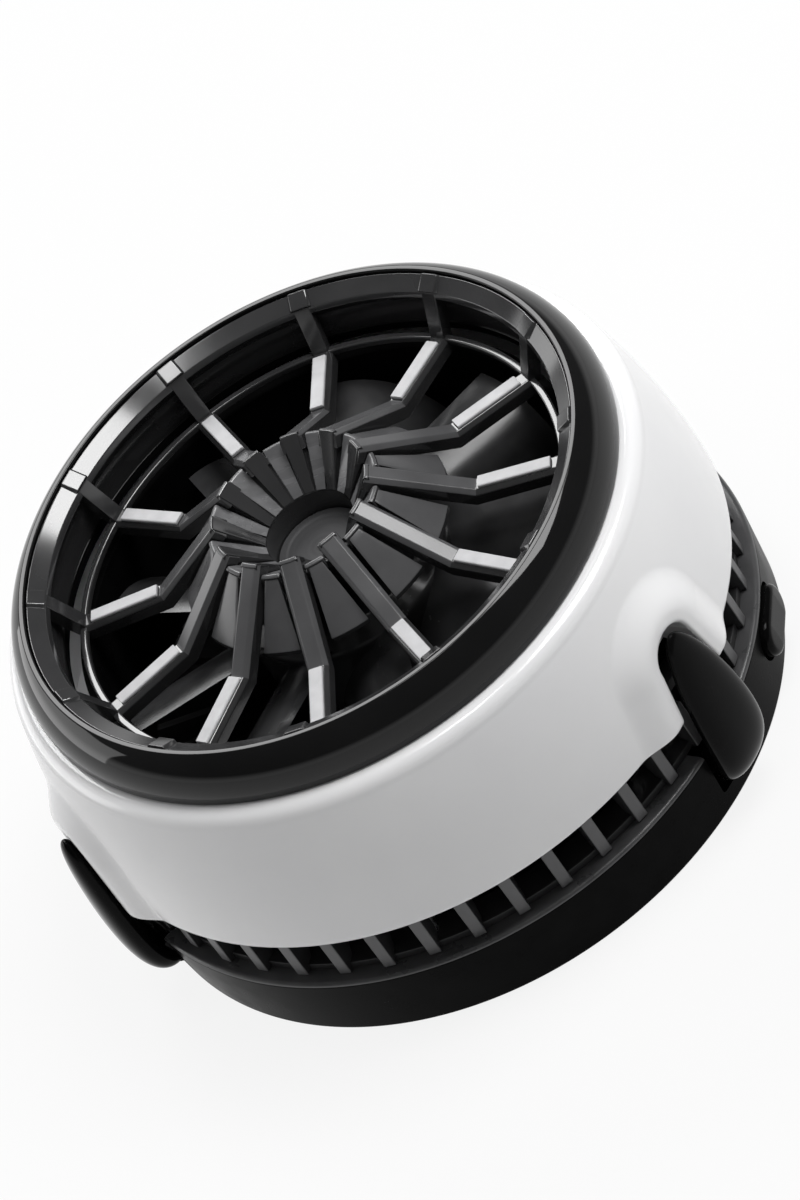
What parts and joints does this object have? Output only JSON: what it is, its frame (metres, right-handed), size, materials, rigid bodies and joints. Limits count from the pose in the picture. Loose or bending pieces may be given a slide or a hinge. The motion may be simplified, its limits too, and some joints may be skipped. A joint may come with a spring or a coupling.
{
  "type": "magnetic phone cooler",
  "caption": "Round clip-on phone cooler: spoked grille over a fan, white shell with latch claws, vaned vent, side button and a magnetic cooling base.",
  "frame": {"origin": "centre of the contact pad's underside, on the fan axis", "axes": "+Z along the fan axis from the phone to the grille; +X towards the side with the button, which stands 4.5 degrees from it"},
  "size_m": [0.0667, 0.0689, 0.0356],
  "materials": {
    "gloss_black": "high gloss moulded plastic",
    "satin_black": "satin moulded plastic",
    "gloss_white": "high gloss moulded plastic",
    "silver_trim": "silver paint",
    "smoke_plastic": "smooth dark plastic",
    "silicone": "soft matt silicone",
    "foam": "closed cell foam",
    "aluminium": "brushed",
    "anodised": "anodized",
    "steel": "plain",
    "magnet": "nickel plated",
    "ferrite": "pressed ferrite",
    "copper": "enamelled wire",
    "bronze": "sintered",
    "ceramic": "white ceramic",
    "nylon": "natural nylon",
    "board": "solder mask"
  },
  "bodies": {
    "case": {"bezel_ring": "gloss_black", "grille_wheel": "gloss_black", "spoke_inserts": "silver_trim", "hub_cap": "smoke_plastic", "outer_shell": "gloss_white", "vent_ring": "satin_black", "base_ring": "satin_black", "base_plate": "satin_black", "contact_pad": "silicone", "cold_plate": "aluminium", "magnet_ring": "magnet", "gasket": "foam", "peltier_module": "ceramic", "heat_sink": "anodised", "sink_screws": "steel", "case_screws": "steel", "fan_frame": "satin_black", "bearing": "bronze", "thrust_pad": "nylon", "stator_core": "steel", "stator_coils": "copper", "circuit_board": "board", "usb_socket": "steel", "tact_switch": "steel", "hinge_pins": "steel", "claw_springs": "steel"},
    "rotor": {"impeller": "smoke_plastic", "motor_shaft": "steel", "rotor_magnet": "ferrite"},
    "button": {"power_button": "gloss_black", "switch_plunger": "nylon"},
    "latch_1": {"claw_1": "gloss_black"},
    "latch_2": {"claw_2": "gloss_black"},
    "latch_3": {"claw_3": "gloss_black"}
  },
  "joints": [
    {"name": "fan_spin", "type": "hinge", "parent": "case", "child": "rotor", "pos_m": [0, 0, 0], "axis": [0, 0, 1], "continuous": true},
    {"name": "power_button_press", "type": "slide", "parent": "case", "child": "button", "axis": [-0.9969, 0.0785, 0], "range_m": [0, 0.0005], "stiffness_N_per_m": 1500},
    {"name": "claw_1_swing", "type": "hinge", "parent": "case", "child": "latch_1", "pos_m": [0.02758, -0.01542, 0.0048], "axis": [0.4879, 0.8729, 0], "range_deg": [0, 25], "stiffness_Nm_per_rad": 0.02},
    {"name": "claw_2_swing", "type": "hinge", "parent": "case", "child": "latch_2", "pos_m": [-0.00044, 0.0316, 0.0048], "axis": [-0.9999, -0.014, 0], "range_deg": [0, 25], "stiffness_Nm_per_rad": 0.02},
    {"name": "claw_3_swing", "type": "hinge", "parent": "case", "child": "latch_3", "pos_m": [-0.02714, -0.01618, 0.0048], "axis": [0.512, -0.859, 0], "range_deg": [0, 25], "stiffness_Nm_per_rad": 0.02}
  ]
}
